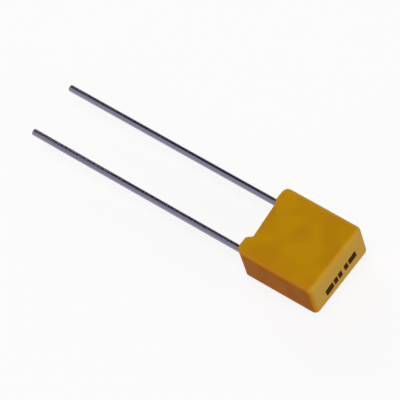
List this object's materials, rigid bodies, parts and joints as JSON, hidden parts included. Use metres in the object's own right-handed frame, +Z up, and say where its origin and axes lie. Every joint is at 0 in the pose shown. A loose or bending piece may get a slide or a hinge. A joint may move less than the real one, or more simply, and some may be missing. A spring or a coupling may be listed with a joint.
{
  "type": "polyester film capacitor",
  "caption": "Small box-shaped film capacitor: moulded ochre case with feet, potted film roll inside, and straight tinned leads on one side.",
  "frame": {"origin": "on the surface that the part lies on, under the middle of its overall width and overall length, leads included", "axes": "+Z up, through the case's thickness and out of its uppermost large face; +Y along the two leads, from the case's closed end towards their free tips; +X across the leads, from lead_left to lead_right. It lies on its other large face, as in the picture."},
  "size_m": [0.0072, 0.0306, 0.0039],
  "materials": {
    "case_plastic": "satin",
    "resin": "gloss",
    "film": "satin",
    "sprayed_metal": "matte",
    "tinned_wire": "polished"
  },
  "bodies": {
    "root": {"case": "case_plastic", "potting_resin": "resin", "film_winding": "film", "end_contact_left": "sprayed_metal", "end_contact_right": "sprayed_metal", "lead_left": "tinned_wire", "lead_right": "tinned_wire"}
  },
  "joints": []
}
